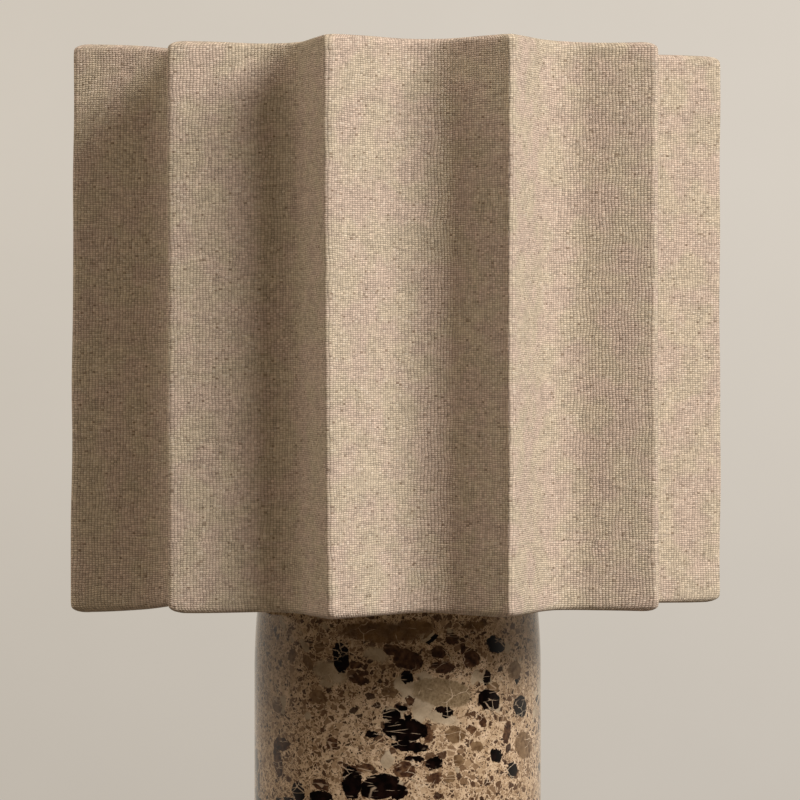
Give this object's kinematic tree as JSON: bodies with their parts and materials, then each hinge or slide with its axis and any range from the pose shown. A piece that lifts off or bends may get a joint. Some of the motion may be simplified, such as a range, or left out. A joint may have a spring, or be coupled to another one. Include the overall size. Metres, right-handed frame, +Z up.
{
  "type": "column table lamp",
  "caption": "Table lamp: a polished stone column with a screw-in bulb under a fluted linen drum shade clamped by a ring on the lamp holder.",
  "frame": {"origin": "centre of the felt foot, on the table", "axes": "+Z up along the column's axis, -Y to the front (the pictured side), +Y to the cord inlet at the back"},
  "size_m": [0.2934, 0.2934, 0.534],
  "materials": {
    "stone": "polished brecciated marble, dark clasts in a cream ground",
    "felt": "pressed wool felt",
    "steel": "zinc plated",
    "brass": "brushed brass",
    "bush_nylon": "black nylon",
    "cork": "pressed cork",
    "block_plastic": "natural polyamide",
    "live_insulation": "brown insulation",
    "neutral_insulation": "blue insulation",
    "earth_insulation": "green and yellow insulation",
    "holder_plastic": "black moulded plastic",
    "holder_ceramic": "unglazed steatite",
    "bulb_metal": "nickel plated screw cap",
    "bulb_black_glass": "black glass insulator",
    "bulb_white": "white moulded plastic",
    "opal": "opal, satin",
    "led_plate": "white coated aluminium",
    "led_yellow": "phosphor",
    "circuit_board": "green circuit board",
    "linen": "coarse undyed plain-weave linen",
    "liner": "white self-adhesive lampshade film",
    "white_wire": "white powder coat"
  },
  "bodies": {
    "base": {"marble_column": "stone", "base_pad": "felt", "base_cover": "steel", "cover_inserts": "brass", "cover_screws": "steel", "cord_bush": "bush_nylon", "threaded_tube": "steel", "bottom_washer": "steel", "earth_tag": "brass", "bottom_nut": "steel", "top_gasket": "cork", "top_plate": "brass", "lock_washer": "steel", "top_nut": "brass", "terminal_block": "block_plastic", "terminal_sleeves": "brass", "terminal_screws": "steel", "block_screw": "steel", "live_lead": "live_insulation", "neutral_lead": "neutral_insulation", "earth_lead": "earth_insulation", "holder_cap": "holder_plastic", "holder_grub_screw": "steel", "holder_base_block": "holder_ceramic", "holder_terminals": "brass", "holder_skirt": "holder_plastic", "holder_contact_shell": "brass", "holder_centre_contact": "brass"},
    "shade": {"linen_cover": "linen", "shade_liner": "liner", "shade_lower_wire": "white_wire", "shade_upper_wire": "white_wire", "spider_ring": "white_wire", "spider_arms": "white_wire"},
    "clamp_ring": {"shade_ring": "holder_plastic"},
    "bulb_contact": {"bulb_tip": "bulb_metal"},
    "bulb": {"bulb_seal": "bulb_black_glass", "bulb_cap": "bulb_metal", "bulb_body": "bulb_white", "bulb_globe": "opal", "bulb_led_plate": "led_plate", "bulb_leds": "led_yellow", "bulb_driver": "circuit_board"}
  },
  "joints": [
    {"name": "shade_turn", "type": "hinge", "parent": "base", "child": "shade", "pos_m": [0, 0, 0.3468], "axis": [0, 0, 1], "continuous": true},
    {"name": "ring_unscrew", "type": "hinge", "parent": "base", "child": "clamp_ring", "pos_m": [0, 0, 0.3468], "axis": [0, 0, 1], "range_deg": [0, 1080]},
    {"name": "bulb_rise", "type": "slide", "parent": "base", "child": "bulb_contact", "axis": [0, 0, 1], "range_m": [0, 0.01454]},
    {"name": "bulb_unscrew", "type": "hinge", "parent": "bulb_contact", "child": "bulb", "pos_m": [0, 0, 0.3468], "axis": [0, 0, 1], "range_deg": [0, 1440]}
  ],
  "couplings": [
    {"joint": "bulb_rise", "follows": "bulb_unscrew", "m_per_rad": 0.00057773}
  ]
}
